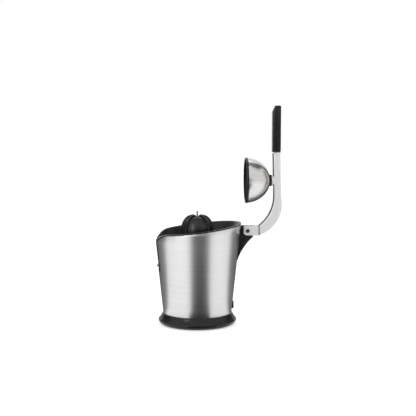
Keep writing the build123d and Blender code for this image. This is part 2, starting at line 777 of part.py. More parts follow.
def microswitch():
    top = SWITCH_Z + SWITCH_H
    body = Pos(-LOOSE, 0, SWITCH_Z + SWITCH_H / 2) * Box(SWITCH_LONG, SWITCH_WIDE, SWITCH_H)
    return body - rod(BUTTON_R + RUN, top - BUTTON_DEEP - TRAVEL, top)


def switch_button():
    return rod(BUTTON_R, SWITCH_Z + SWITCH_H - BUTTON_DEEP, STEM_END_Z - SEAT)


def switch_bracket():
    """The angle that hangs the switch from the gearbox's floor."""
    face_x = -LOOSE - SWITCH_LONG / 2
    plate = block(face_x - BRACKET_T, face_x, SWITCH_WIDE / 2 + LOOSE, SWITCH_Z, GEARBOX_Z)
    flange_x = face_x - BRACKET_FLANGE
    return plate + block(flange_x, face_x, SWITCH_WIDE / 2 + LOOSE, GEARBOX_Z - BRACKET_T, GEARBOX_Z)


def bowl_skin(inset):
    """The bowl's lower part as a solid, shrunk by a wall."""
    low = BOWL_UNDER_Z + inset
    foot = BOWL_FOOT_R - inset
    corner = BOWL_CORNER_R - inset
    ledge = BOWL_LEDGE_R - inset
    outline = [
        Polyline((foot, low + corner), (ledge, BOWL_LEDGE_Z), (0, BOWL_LEDGE_Z), (0, low)),
        Line((0, low), (foot - corner, low)),
        RadiusArc((foot - corner, low), (foot, low + corner), -corner),
    ]
    return revolve(Plane.XZ * make_face(outline), Axis.Z)


def spout_block(inset):
    """The spout's chamber in front of the bowl, shrunk by a wall."""
    low = BOWL_UNDER_Z + BOWL_WALL + inset
    outline = Polyline(
        (SPOUT_TOP_X + inset, SPOUT_TOP_Z - inset / 2),
        (SPOUT_LOW_X + inset, low),
        (-BOWL_FOOT_R + BOWL_CORNER_R, low),
        (-BOWL_FOOT_R + BOWL_CORNER_R, SPOUT_TOP_Z - inset / 2),
        close=True,
    )
    return side_plate(make_face(outline), SPOUT_HALF - inset)


def juice_bowl():
    """The clear bowl: a round tub with a ledge, a slanted flange, a centre tube and a spout."""
    high = FLANGE_Z + REACH * math.tan(SLANT)
    bowl = bowl_skin(0) + spout_block(0)
    bowl += rod(COLLAR_R, BOWL_LEDGE_Z - BOWL_WALL, high)
    flange = slant_plane(FLANGE_Z - BOWL_WALL / 2).location * Cylinder(FLANGE_R, BOWL_WALL)
    bowl = (bowl - above_slant(FLANGE_Z)) + flange
    bowl -= rod(COLLAR_R - BOWL_WALL, BOWL_LEDGE_Z, high)
    bowl -= bowl_skin(BOWL_WALL)
    bowl -= spout_block(BOWL_WALL)
    outlet_x = SPOUT_LOW_X + BOWL_WALL
    outlet_top = BOWL_UNDER_Z + BOWL_CORNER_R
    bowl -= block(outlet_x, outlet_x + OUTLET_LONG, TONGUE_HALF - BOWL_WALL, HINGE_Z, outlet_top)
    bowl += rod(TUBE_R, BOWL_UNDER_Z, TUBE_TOP_Z)
    bowl -= rod(TUBE_R - TUBE_WALL, BOWL_UNDER_Z, TUBE_TOP_Z)
    for side in (-1, 1):
        bowl += Pos(0, side * (TONGUE_HALF + FREE + EAR_WALL / 2), 0) * drip_ear()
    return bowl


def drip_ear():
    """One ear under the spout that holds the drip stop's pin."""
    top = BOWL_UNDER_Z + 2 * BOWL_WALL
    ear = block(HINGE_X - HINGE_BOSS_R, HINGE_X + HINGE_BOSS_R, EAR_WALL / 2, HINGE_Z, top)
    ear += along_y(HINGE_BOSS_R, EAR_WALL / 2, HINGE_X, HINGE_Z)
    return ear - along_y(HINGE_PIN_R, EAR_WALL / 2, HINGE_X, HINGE_Z)


def drip_stop_pin():
    return along_y(HINGE_PIN_R, TONGUE_HALF + FREE + EAR_WALL, HINGE_X, HINGE_Z)


def drip_stop_lever():
    """The rocking tongue: a shallow tray in front of its hinge and a tail behind it."""
    low = HINGE_Z - HINGE_BOSS_R
    top = low + TONGUE_H
    boss = along_y(HINGE_BOSS_R, TONGUE_HALF, HINGE_X, HINGE_Z)
    tray = Polyline(
        (TONGUE_TIP_X, low),
        (TONGUE_TIP_X + TONGUE_RIM, top + TONGUE_RIM),
        (TONGUE_TIP_X + 2 * TONGUE_RIM, top),
        (TAIL_X, top),
        (TAIL_X, low),
        close=True,
    )
    lever = side_plate(make_face(tray), TONGUE_HALF) + boss
    lever -= along_y(HINGE_PIN_R + RUN, TONGUE_HALF, HINGE_X, HINGE_Z)
    bumper_x = TAIL_X - BUMPER_R - LOOSE
    return lever - rod(RIVET_R, low, top, bumper_x, 0)


def drip_stop_pad():
    """The soft pad on the tray that shuts the outlet when the tongue is raised."""
    low = HINGE_Z - HINGE_BOSS_R + TONGUE_H
    start = TONGUE_TIP_X + 2 * TONGUE_RIM
    return block(start, HINGE_X - HINGE_BOSS_R - 2 * LOOSE, TONGUE_HALF - LOOSE, low, low + PAD_H)


def drip_stop_bumper():
    """The stop on the tail that meets the bowl's underside."""
    low = HINGE_Z - HINGE_BOSS_R + TONGUE_H
    return tube(BUMPER_R, RIVET_R, low, BOWL_UNDER_Z - FREE, TAIL_X - BUMPER_R - LOOSE, 0)


def drip_stop_rivet():
    low = HINGE_Z - HINGE_BOSS_R
    x = TAIL_X - BUMPER_R - LOOSE
    head = rod(BUMPER_R - LOOSE / 2, RIVET_LOW_Z, low, x, 0)
    return head + rod(RIVET_R, low, BOWL_UNDER_Z - 2 * FREE, x, 0)


def strainer_profile(drop):
    """Half the dish's section, one face of the sheet."""
    mouth_z = STRAINER_Z + STRAINER_WALL
    floor_z = mouth_z - STRAINER_DEPTH
    knee_z = mouth_z - STRAINER_KNEE_DROP
    middle_r = STRAINER_FLOOR_R + STRAINER_BEND * (STRAINER_KNEE_R - STRAINER_FLOOR_R)
    middle_z = knee_z + STRAINER_BEND * (floor_z - knee_z) - STRAINER_BELLY
    collar_r = TUBE_R + LOOSE
    return [
        Line((STRAINER_FLANGE_R, mouth_z - drop), (STRAINER_MOUTH_R, mouth_z - drop)),
        Line((STRAINER_MOUTH_R, mouth_z - drop), (STRAINER_KNEE_R, knee_z - drop)),
        ThreePointArc(
            (STRAINER_KNEE_R, knee_z - drop),
            (middle_r, middle_z - drop),
            (STRAINER_FLOOR_R, floor_z - drop),
        ),
        Line((STRAINER_FLOOR_R, floor_z - drop), (collar_r, floor_z - drop)),
    ]


def strainer_dish():
    """The steel dish with radial slots in its floor and a collar round the bowl's tube."""
    upper = strainer_profile(0)
    lower = strainer_profile(STRAINER_WALL)
    ends = [Line(upper[0] @ 0, lower[0] @ 0), Line(upper[-1] @ 1, lower[-1] @ 1)]
    dish = revolve(Plane.XZ * make_face(upper + lower + ends), Axis.Z)
    floor_z = STRAINER_Z + STRAINER_WALL - STRAINER_DEPTH
    collar_r = TUBE_R + LOOSE
    dish += tube(collar_r + STRAINER_WALL, collar_r, floor_z - STRAINER_WALL, floor_z + STRAINER_COLLAR_H)
    slot = Rectangle(SLOT_OUT_R - SLOT_IN_R, SLOT_WIDE)
    middle_r = (SLOT_OUT_R + SLOT_IN_R) / 2
    slots = Sketch() + [place * slot for place in PolarLocations(middle_r, STRAINER_SLOTS)]
    return dish - extrude(Pos(0, 0, floor_z - 2 * STRAINER_WALL) * slots, amount=3 * STRAINER_WALL)


def quarter_curve(middle_x, low, radius, height):
    """A quarter of an ellipse as one smooth curve, from its side to its top."""
    return Bezier(
        (middle_x + radius, low),
        (middle_x + radius, low + ROUNDNESS * height),
        (middle_x + ROUNDNESS * radius, low + height),
        (middle_x, low + height),
    )


def quarter_face(radius, height, low):
    """A quarter of an ellipse beside the axis."""
    arc = quarter_curve(0, low, radius, height)
    return make_face([arc, Polyline(arc @ 1, (0, low), arc @ 0)])


def strip_face(x0, x1, z0, z1):
    """A rectangle between two radii and two heights."""
    return Pos((x0 + x1) / 2, (z0 + z1) / 2) * Rectangle(x1 - x0, z1 - z0)


def turned(face):
    """A face beside the axis, turned about it."""
    return revolve(Plane.XZ * face, Axis.Z)


def ribs_round(face, width):
    """Flat ribs from one outline, set round the axis."""
    rib = side_plate(face, width / 2)
    return [Rot(0, 0, 360 * index / CONE_RIBS) * rib for index in range(CONE_RIBS)]


def cone_wing():
    """One paddle of the small cone, bent up at its tip."""
    tip_z = CONE_BASE_Z - WING_H
    outline = Polyline(
        (CUP_R - CUP_WALL, tip_z - 2 * WING_TIP_RISE),
        (CUP_R + WING_TIP_RISE, tip_z - 2 * WING_TIP_RISE),
        (WING_R - WING_TIP_RISE, tip_z - WING_TIP_RISE / 2),
        (WING_R, tip_z),
        (WING_R - WING_TIP_RISE, tip_z),
        (CUP_R + WING_TIP_RISE, tip_z - 2 * WING_TIP_RISE + WING_H),
        (CUP_R - CUP_WALL, tip_z - 2 * WING_TIP_RISE + WING_H),
        close=True,
    )
    return side_plate(make_face(outline), WING_HALF)


def small_cone():
    """The small reamer: a ribbed ogive on a cup whose trough takes the large one, with two wings."""
    height = CONE_TOP_Z - CONE_BASE_Z
    cup = Polyline(
        (0, CUP_UNDER_Z),
        (CUP_LOW_R, CUP_UNDER_Z),
        (CUP_R, CUP_UNDER_Z + CUP_R - CUP_LOW_R),
        (CUP_R, CUP_TOP_Z),
        (CUP_R - CUP_WALL, CUP_TOP_Z),
        (CUP_R - CUP_WALL, TROUGH_Z),
        (CONE_R, TROUGH_Z),
        (CONE_R, CONE_BASE_Z),
        (0, CONE_BASE_Z),
        close=True,
    )
    hollow_r = CONE_R - CONE_WALL
    hub_r = DRIVE_R + FREE + HUB_WALL
    hollow = quarter_face(hollow_r, POST_TOP_Z - CONE_BASE_Z, CONE_BASE_Z)
    hollow += strip_face(0, hollow_r, CUP_UNDER_Z, CONE_BASE_Z)
    hollow -= strip_face(0, hub_r, HUB_LOW_Z, CONE_TOP_Z)
    body = turned(quarter_face(CONE_R, height, CONE_BASE_Z) + make_face(cup) - hollow)
    rib = quarter_face(CONE_R + CONE_RIB_H, height, CONE_BASE_Z) - strip_face(0, hub_r, 0, TALL)
    rib -= quarter_face(CONE_R - CONE_RIB_H, height - CONE_RIB_H, CONE_BASE_Z)
    for piece in ribs_round(rib, CONE_RIB_W):
        body += piece
    socket = Pos(0, 0, CUP_UNDER_Z) * post_face(FREE)
    body -= extrude(socket, amount=POST_TOP_Z + SEAT - CUP_UNDER_Z)
    for angle in (0, 180):
        body += Rot(0, 0, angle) * cone_wing()
    return body


def reamer_face(inset):
    """Half the large cone's section above its skirt, upright below and rounded above, shrunk."""
    low_z = REAMER_Z + REAMER_STEP_H
    side_z = REAMER_Z + REAMER_SIDE_H
    radius = REAMER_R - inset
    height = REAMER_H - REAMER_SIDE_H - inset
    arc = quarter_curve(REAMER_CROWN_R, side_z, radius - REAMER_CROWN_R, height)
    middle = (0, side_z + height - REAMER_DIMPLE)
    rest = Polyline(arc @ 1, middle, (0, low_z), (radius, low_z), arc @ 0)
    return make_face([arc, rest])


def large_cone():
    """The large reamer: a core with eight thin ribs that overhang its skirt, a dimple and a fin."""
    low_z = REAMER_Z + REAMER_STEP_H
    crown_z = REAMER_Z + REAMER_H
    skirt = strip_face(0, REAMER_SKIRT_R, REAMER_Z, low_z)
    body = turned(reamer_face(REAMER_RIB_H) + skirt)
    rib = reamer_face(0) - strip_face(0, REAMER_CROWN_R / 2, REAMER_Z, crown_z)
    for piece in ribs_round(rib, REAMER_RIB_W):
        body += piece
    room = quarter_face(CONE_R + CONE_RIB_H + LOOSE, CONE_TOP_Z + LOOSE - REAMER_Z, REAMER_Z)
    body -= turned(room)
    fin_z = crown_z - REAMER_RIB_H - REAMER_DIMPLE - LOOSE
    fin = Polyline(
        (-REAMER_CROWN_R / 2, fin_z),
        (-REAMER_FIN_W, crown_z),
        (-REAMER_FIN_W / 2, crown_z + REAMER_FIN_H),
        (REAMER_FIN_W / 2, crown_z + REAMER_FIN_H),
        (REAMER_FIN_W, crown_z),
        (REAMER_CROWN_R / 2, fin_z),
        close=True,
    )
    return body + Rot(0, 0, 90) * side_plate(make_face(fin), REAMER_FIN_W / 2)


def hinge_fork():
    """The grey fork whose cheeks straddle the bracket's lug."""
    fork = block(PIVOT_X, FORK_END_X, FORK_HALF, PIVOT_Z - FORK_R, PIVOT_Z + FORK_R)
    fork += along_y(FORK_R, FORK_HALF, PIVOT_X, PIVOT_Z)
    fork = fillet(fork.faces().sort_by(Axis.Y)[0].edges() + fork.faces().sort_by(Axis.Y)[-1].edges(), LOOSE)
    slot = block(PIVOT_X - 2 * FORK_R, PIVOT_X + FORK_BRIDGE, LUG_HALF + FREE, 0, TALL)
    fork -= slot
    fork -= along_y(PIN_R, FORK_HALF, PIVOT_X, PIVOT_Z)
    return fork - fork_bolt()


def pivot_pin():
    pin = along_y(PIN_R, FORK_HALF, PIVOT_X, PIVOT_Z)
    thread = along_y(PIVOT_THREAD_R, FORK_HALF, PIVOT_X, PIVOT_Z)
    return pin - (thread - along_y(PIN_R, FORK_HALF - PIVOT_THREAD_LONG, PIVOT_X, PIVOT_Z))


def pivot_screws():
    thread = along_y(PIVOT_THREAD_R, FORK_HALF, PIVOT_X, PIVOT_Z)
    thread -= along_y(PIN_R, FORK_HALF - PIVOT_THREAD_LONG, PIVOT_X, PIVOT_Z)
    heads = along_y(PIVOT_HEAD_R, FORK_HALF + PIVOT_HEAD_H, PIVOT_X, PIVOT_Z)
    heads -= along_y(PIVOT_HEAD_R, FORK_HALF, PIVOT_X, PIVOT_Z)
    return thread + heads


def fork_bolt():
    """The countersunk bolt that ties the fork to the arm."""
    start = PIVOT_X + FORK_BRIDGE
    sink = FORK_BOLT_HEAD_R - FORK_BOLT_R
    head = Pos(start + sink / 2, 0, PIVOT_Z) * Rot(0, 90, 0) * Cone(FORK_BOLT_HEAD_R, FORK_BOLT_R, sink)
    return head + along_x(FORK_BOLT_R, start + sink, start + FORK_BOLT_LONG, 0, PIVOT_Z)


def arm_spacer():
    spacer = block(FORK_END_X, FORK_END_X + SPACER, FORK_HALF - LOOSE / 2, PIVOT_Z - FORK_R, PIVOT_Z + FORK_R)
    return spacer - fork_bolt()


def part_way(start, end, shares):
    """A point between two others, by its share of the way along each axis."""
    return tuple(a + (b - a) * share for a, b, share in zip(start, end, shares))


def arm_inner_edge(inset):
    """The arm's edge towards the dome, moved towards the dome."""
    start = (FORK_END_X + SPACER, PIVOT_Z + FORK_R + inset)
    x, z = part_way((start[0], PIVOT_Z + FORK_R), (ARM_IN_X, ARM_BEND_Z), ARM_IN_BOW)
    diagonal = inset * math.sqrt(0.5)
    middle = (x - diagonal, z + diagonal)
    bend = (ARM_IN_X - inset, ARM_BEND_Z)
    return [ThreePointArc(start, middle, bend), Line(bend, (ARM_TOP_IN_X - inset, ARM_TOP_Z))]


def arm_beam():
    """The curved grey arm with a tang inside the grip."""
    inner = arm_inner_edge(0)
    low = (FORK_END_X + SPACER, PIVOT_Z - FORK_R)
    bend = (ARM_OUT_X, ARM_BEND_Z)
    outline = inner + [
        Line(inner[-1] @ 1, (ARM_TOP_OUT_X, ARM_TOP_Z)),
        Line((ARM_TOP_OUT_X, ARM_TOP_Z), bend),
        ThreePointArc(bend, part_way(low, bend, ARM_OUT_BOW), low),
        Line(low, inner[0] @ 0),
    ]
    arm = side_plate(make_face(outline), ARM_HALF)
    sides = arm.faces().sort_by(Axis.Y)
    arm = fillet(sides[0].edges() + sides[-1].edges(), ARM_ROUND)
    arm += block(TANG_IN_X, TANG_OUT_X, TANG_HALF, ARM_TOP_Z, ARM_TOP_Z + TANG_H)
    for z in grip_screw_heights():
        arm -= along_x(SCREW_R, TANG_IN_X, TANG_OUT_X, 0, z)
    return arm - fork_bolt() - dome_screw()


def arm_strip():
    """The dark strip along the arm's inner edge, open round the dome's neck."""
    outer = arm_inner_edge(0)
    inner = arm_inner_edge(STRIP_T)
    ends = [Line(outer[0] @ 0, inner[0] @ 0), Line(outer[-1] @ 1, inner[-1] @ 1)]
    strip = side_plate(make_face(outer + inner + ends), STRIP_HALF)
    return strip - along_x(NECK_R + FREE, 0, ARM_OUT_X, 0, DOME_Z)


def grip_band():
    """The bright band between the arm and the grip."""
    x0 = ARM_TOP_IN_X - BAND_STEP
    band = block(x0, ARM_TOP_OUT_X + BAND_STEP, ARM_HALF + BAND_STEP, ARM_TOP_Z, ARM_TOP_Z + BAND_H)
    return band - block(TANG_IN_X, TANG_OUT_X, TANG_HALF, ARM_TOP_Z, ARM_TOP_Z + BAND_H)


def grip_screw_heights():
    """Where the grip's screws cross the tang."""
    first = ARM_TOP_Z + BAND_H + TANG_H / 4
    return [first + index * TANG_H / 2 for index in range(GRIP_SCREWS)]


def grip_outer():
    """The rear half of the grip, with a pocket for the tang."""
    low = ARM_TOP_Z + BAND_H
    grip = block(GRIP_SPLIT_X, GRIP_OUT_X, GRIP_HALF, low, GRIP_TOP_Z)
    far = grip.faces().sort_by(Axis.X)[-1]
    grip = fillet(far.edges(), GRIP_ROUND)
    grip -= block(TANG_IN_X, TANG_OUT_X, TANG_HALF, low, ARM_TOP_Z + TANG_H)
    for z in grip_screw_heights():
        grip -= along_x(SCREW_R, GRIP_SPLIT_X, GRIP_OUT_X - GRIP_ROUND, 0, z)
    return grip


def grip_inner():
    """The front half of the grip, cut to a slope at the top."""
    low = ARM_TOP_Z + BAND_H
    outline = Polyline(
        (GRIP_IN_X, low),
        (GRIP_SPLIT_X, low),
        (GRIP_SPLIT_X, GRIP_TOP_Z),
        (GRIP_IN_X, GRIP_TOP_Z - GRIP_SLOPE),
        close=True,
    )
    grip = side_plate(make_face(outline), GRIP_HALF - LOOSE)
    near = grip.faces().sort_by(Axis.X)[0]
    grip = fillet(near.edges().filter_by(Axis.Z), GRIP_ROUND)
    for z in grip_screw_heights():
        grip -= along_x(SCREW_R, GRIP_IN_X, GRIP_SPLIT_X, 0, z)
        grip -= along_x(SCREW_HEAD_R, GRIP_IN_X, GRIP_IN_X + SCREW_HEAD_H, 0, z)
    return grip


def grip_screws():
    screws = []
    for z in grip_screw_heights():
        head = along_x(SCREW_HEAD_R, GRIP_IN_X, GRIP_IN_X + SCREW_HEAD_H, 0, z)
        screws.append(head + along_x(SCREW_R, GRIP_IN_X + SCREW_HEAD_H, GRIP_OUT_X - GRIP_ROUND, 0, z))
    return Compound(children=screws)


def on_dome_axis(shape):
    """Turns a piece made about +Z, mouth at zero, onto the dome's axis."""
    return Pos(MOUTH_X, 0, DOME_Z) * Rot(0, 90, 0) * shape


def dome_face(inset):
    """Half the dome's section, shrunk by an inset."""
    return quarter_face(DOME_R - inset, DOME_H - inset, 0)


def screw_way():
    """The room for the dome's screw along its axis."""
    return strip_face(0, DOME_SCREW_R, 0, 2 * DOME_H)


def dome_shell():
    sheet = dome_face(0) - dome_face(DOME_WALL) - strip_face(0, 2 * DOME_R, 0, DOME_BAND_H)
    return on_dome_axis(turned(sheet - screw_way()))


def dome_liner():
    """The black liner whose rim band shows below the steel."""
    liner = dome_face(DOME_WALL) + strip_face(0, DOME_BAND_R, 0, DOME_BAND_H)
    liner -= dome_face(DOME_WALL + LINER_WALL)
    return on_dome_axis(turned(liner - screw_way()))


def dome_collar():
    collar = strip_face(0, NECK_COLLAR_R, DOME_H / 2, NECK_COLLAR_END) - dome_face(0)
    return on_dome_axis(turned(collar - screw_way()))


def dome_neck():
    """The grey post between the collar and the arm."""
    neck = rod(NECK_R, NECK_COLLAR_END, ARM_OUT_X - MOUTH_X) - rod(DOME_SCREW_R, 0, 2 * DOME_H)
    inner = arm_inner_edge(0)
    back = Polyline(inner[0] @ 0, (ARM_OUT_X * 2, PIVOT_Z), (ARM_OUT_X * 2, ARM_TOP_Z), inner[-1] @ 1)
    return on_dome_axis(neck) - side_plate(make_face(inner + [back]), ARM_HALF + NECK_R)


def dome_screw():
    start = DOME_H - DOME_WALL - LINER_WALL - DOME_SCREW_HEAD_H
    head = strip_face(0, DOME_SCREW_HEAD_R, start, start + DOME_SCREW_HEAD_H)
    head &= dome_face(DOME_WALL + LINER_WALL)
    return on_dome_axis(turned(head + strip_face(0, DOME_SCREW_R, start, start + DOME_SCREW_LONG)))


SUB_PARTS = (
    foot_rubber,
    bottom_cover,
    cover_screws,
    base_ring,
    steel_sleeve,
    spout_frame,
    top_well,
    hinge_bracket,
    bracket_screws,
    cord_gland,
    gearbox_housing,
    gear_plate,
    gearbox_screws,
    compound_axle,
    compound_gear,
    output_gear,
    motor_can,
    motor_end_cap,
    motor_stator,
    motor_rotor,
    motor_pinion,
    drive_shaft,
    shaft_clip,
    drive_post,
    shaft_bush,
    shaft_seal,
    thrust_plunger,
    return_spring,
    microswitch,
    switch_button,
    switch_bracket,
    juice_bowl,
    drip_stop_pin,
    drip_stop_lever,
    drip_stop_pad,
    drip_stop_bumper,
    drip_stop_rivet,
    strainer_dish,
    small_cone,
    large_cone,
    hinge_fork,
    pivot_pin,
    pivot_screws,
    fork_bolt,
    arm_spacer,
    arm_beam,
    arm_strip,
    grip_band,
    grip_outer,
    grip_inner,
    grip_screws,
    dome_shell,
    dome_liner,
    dome_collar,
    dome_neck,
    dome_screw,
)

os.makedirs("parts", exist_ok=True)
for sub_part in SUB_PARTS:
    export_step(sub_part(), f"parts/{sub_part.__name__}.step")
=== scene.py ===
import json
import math

import bmesh
import bpy
from mathutils import Matrix, Vector


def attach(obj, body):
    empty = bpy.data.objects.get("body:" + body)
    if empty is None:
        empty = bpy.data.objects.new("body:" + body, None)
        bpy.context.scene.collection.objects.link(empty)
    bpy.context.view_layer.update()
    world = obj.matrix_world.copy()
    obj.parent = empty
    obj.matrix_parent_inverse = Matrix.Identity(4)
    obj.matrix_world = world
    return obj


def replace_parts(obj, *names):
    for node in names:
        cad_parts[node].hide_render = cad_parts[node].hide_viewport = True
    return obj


# Electric lever citrus juicer: finishes, screws, fork, wings, light and camera.
# Metres, in the frame of the CAD model.

# Camera at the photograph's place
CAMERA_TARGET = Vector((0.0237, 0.0, 0.2567))
CAMERA_DISTANCE = 2.0
CAMERA_AZIMUTH = math.radians(-2.2)
CAMERA_ELEVATION = math.radians(5.5)
CAMERA_REACH = 100
FIELD_OF_VIEW = math.radians(25.8)

# Rounded edges
EDGE_RADIUS = 0.0005
EDGE_ANGLE = math.radians(35)
EDGE_SEGMENTS = 2
WELD_DISTANCE = 0.00001

# Stage
FLOOR_SIZE = 12.0
FLOOR_SHADE = 0.9
FLOOR_LIFT = 0.5
BACKDROP_SEEN = 1.0
BACKDROP_LIGHT = 0.62
AIM = (0.03, 0.0, 0.25)

# Lights: name, place, size, power, and whether they show in reflections
LIGHTS = (
    ("key", (-1.2, -1.5, 0.9), (0.35, 1.2), 9, True),
    ("fill", (1.2, -1.5, 0.9), (0.4, 1.2), 7, False),
    ("top", (0.0, 0.3, 2.2), (1.6, 1.6), 10, True),
)

# Dark sectors on the floor that show only in reflections, a painted dark reflection: name, far end,
# first and last angle in degrees, and shade
CARD_HEIGHT = 0.002
CARD_STEPS = 8
CARD_NEAR = 0.09
FLOOR_PAINTED_REFLECTIONS = (
    ("front_flag", 1.6, -18, 30, 0.01),
    ("right_flag", 3.0, 96, 135, 0.2),
    ("left_flag", 3.0, 225, 264, 0.2),
    ("rear_flag", 3.0, 135, 225, 0.08),
)

# Dark boards that show only in reflections, a painted dark reflection: name, low corner, high corner
# and shade; each is flat along one axis
PAINTED_REFLECTION_BOARDS = (
    ("front_board", (-0.9, -2.5, 0.05), (1.1, -2.5, 0.8), 0.02),
    ("left_board", (-1.6, 0.3, 0.01), (-1.6, 2.2, 1.2), 0.08),
    ("right_board", (1.6, 0.3, 0.01), (1.6, 2.2, 1.2), 0.08),
    ("top_board", (-0.8, -0.2, 1.6), (1.5, 0.5, 1.6), 0.05),
)

# Sheen of the black plastics
BLACK_SPECULAR = 0.3
CONE_SPECULAR = 0.45

# Noise of the finishes: the part of it in use, its detail, and the depth of relief
NOISE_LOW, NOISE_HIGH = 0.3, 0.7
NOISE_DETAIL = 4.0
SPOKE_DETAIL = 5.0
FINE_RELIEF = 0.00003
PLASTIC_RELIEF = 0.00005
EVEN = (1, 1, 1)

# Height of the dome's axis
DOME_Z = 0.3175

# Screws: head's radius and height, shank's radius, and length with the head
RING_STEPS = 48
THREAD_PITCH = 0.001
THREAD_DEPTH = 0.00022
HEAD_ROUND = 0.0004
PIVOT_BOLT = (0.0042, 0.002, 0.0018, 0.009)
GRIP_SCREW = (0.0034, 0.0018, 0.00175, 0.015)
COVER_SCREW = (0.0034, 0.0018, 0.00175, 0.014)
DOME_SCREW = (0.005, 0.002, 0.0025, 0.02)

# Their recesses: width and span of a cross, or distance across flats, and depths
SOCKET_FLATS, SOCKET_DEPTH = 0.004, 0.0015
SMALL_CROSS, SMALL_CROSS_DEPTH = (0.0009, 0.004), 0.0012
LARGE_CROSS, LARGE_CROSS_DEPTH = (0.0013, 0.006), 0.0014

# Places of the screws
PIVOT = (0.1105, 0.207)
PIVOT_HEAD_Y = 0.0145
GRIP_FACE_X = 0.1646
GRIP_SCREW_Z = (0.3975, 0.4325)
COVER_SCREW_R = 0.054
COVER_SCREW_ANGLES = (150, 240, 330)
COVER_Z = 0.0025
DOME_SCREW_X = 0.1554

# Fork, about the pivot
FORK_R = 0.0104
FORK_NOSE = 0.0085
FORK_HALF = 0.0125
FORK_SLOT_HALF = 0.0073
FORK_SLOT_X = 0.123
FORK_END_X = 0.1346
FORK_ROUND = 0.0008
FORK_STEPS = 8

# Wings of the small cone: reach from the axis and height
WING_HALF = 0.006
WING_WEB = ((0.0375, 0.17), (0.042, 0.17), (0.051, 0.175), (0.0375, 0.175))


def grey(shade):
    """A colour with no hue."""
    return shade, shade, shade


def new_material(name, color, metallic, roughness):
    """A material with its main shader."""
    material = bpy.data.materials.new(name)
    material.use_nodes = True
    shader = material.node_tree.nodes["Principled BSDF"]
    shader.inputs["Base Color"].default_value = (*color, 1.0)
    shader.inputs["Metallic"].default_value = metallic
    shader.inputs["Roughness"].default_value = roughness
    return material, shader


def noise_of(material, scale, stretch):
    """Noise in the object's own space, stretched along its axes."""
    nodes, links = material.node_tree.nodes, material.node_tree.links
    place = nodes.new("ShaderNodeTexCoord")
    mapping = nodes.new("ShaderNodeMapping")
    mapping.inputs["Scale"].default_value = stretch
    noise = nodes.new("ShaderNodeTexNoise")
    noise.inputs["Scale"].default_value = scale
    noise.inputs["Detail"].default_value = NOISE_DETAIL
    links.new(place.outputs["Object"], mapping.inputs["Vector"])
    links.new(mapping.outputs["Vector"], noise.inputs["Vector"])
    return noise.outputs["Fac"]


def spokes_of(material, scale):
    """Noise that changes only with the angle round the dome's axis."""
    nodes, links = material.node_tree.nodes, material.node_tree.links
    place = nodes.new("ShaderNodeTexCoord")
    split = nodes.new("ShaderNodeSeparateXYZ")
    rise = nodes.new("ShaderNodeMath")
    rise.operation = "SUBTRACT"
    rise.inputs[1].default_value = DOME_Z
    turn = nodes.new("ShaderNodeMath")
    turn.operation = "ARCTAN2"
    noise = nodes.new("ShaderNodeTexNoise")
    noise.noise_dimensions = "1D"
    noise.inputs["Scale"].default_value = scale
    noise.inputs["Detail"].default_value = SPOKE_DETAIL
    links.new(place.outputs["Object"], split.inputs["Vector"])
    links.new(split.outputs["Z"], rise.inputs[0])
    links.new(rise.outputs["Value"], turn.inputs[0])
    links.new(split.outputs["Y"], turn.inputs[1])
    links.new(turn.outputs["Value"], noise.inputs["W"])
    return noise.outputs["Fac"]


def vary(material, value, socket, low, high):
    """Drives a number of the shader between two values."""
    nodes, links = material.node_tree.nodes, material.node_tree.links
    spread = nodes.new("ShaderNodeMapRange")
    spread.inputs["From Min"].default_value = NOISE_LOW
    spread.inputs["From Max"].default_value = NOISE_HIGH
    spread.inputs["To Min"].default_value = low
    spread.inputs["To Max"].default_value = high
    links.new(value, spread.inputs["Value"])
    links.new(spread.outputs["Result"], socket)


def tint(material, value, socket, dark, light):
    """Drives a colour of the shader between two shades."""
    nodes, links = material.node_tree.nodes, material.node_tree.links
    ramp = nodes.new("ShaderNodeValToRGB")
    ramp.color_ramp.elements[0].position = NOISE_LOW
    ramp.color_ramp.elements[0].color = (*dark, 1.0)
    ramp.color_ramp.elements[1].position = NOISE_HIGH
    ramp.color_ramp.elements[1].color = (*light, 1.0)
    links.new(value, ramp.inputs["Fac"])
    links.new(ramp.outputs["Color"], socket)


def bump(material, value, shader, strength, depth):
    """Adds a fine relief."""
    nodes, links = material.node_tree.nodes, material.node_tree.links
    relief = nodes.new("ShaderNodeBump")
    relief.inputs["Strength"].default_value = strength
    relief.inputs["Distance"].default_value = depth
    links.new(value, relief.inputs["Height"])
    links.new(relief.outputs["Normal"], shader.inputs["Normal"])


def sleeve_steel():
    """Steel with fine brush lines round the body."""
    material, shader = new_material("sleeve_steel", grey(0.61), 1.0, 0.34)
    lines = noise_of(material, 4.0, (1.5, 1.5, 500))
    vary(material, lines, shader.inputs["Roughness"], 0.3, 0.38)
    tint(material, lines, shader.inputs["Base Color"], grey(0.56), grey(0.66))
    bump(material, lines, shader, 0.05, FINE_RELIEF)
    return material


def dome_steel():
    """Steel with brush lines that run from the rim to the neck."""
    material, shader = new_material("dome_steel", (0.62, 0.61, 0.6), 1.0, 0.28)
    lines = spokes_of(material, 40.0)
    vary(material, lines, shader.inputs["Roughness"], 0.22, 0.34)
    tint(material, lines, shader.inputs["Base Color"], (0.5, 0.49, 0.48), (0.72, 0.71, 0.7))
    bump(material, lines, shader, 0.08, 0.00006)
    return material


def polished_steel():
    """Bright steel with a faint haze."""
    material, shader = new_material("polished_steel", (0.76, 0.76, 0.77), 1.0, 0.12)
    haze = noise_of(material, 60.0, EVEN)
    vary(material, haze, shader.inputs["Roughness"], 0.1, 0.18)
    return material


def satin_steel():
    """Pressed sheet steel with a soft sheen."""
    material, shader = new_material("satin_steel", grey(0.74), 1.0, 0.45)
    haze = noise_of(material, 90.0, EVEN)
    vary(material, haze, shader.inputs["Roughness"], 0.4, 0.5)
    tint(material, haze, shader.inputs["Base Color"], grey(0.71), grey(0.77))
    return material


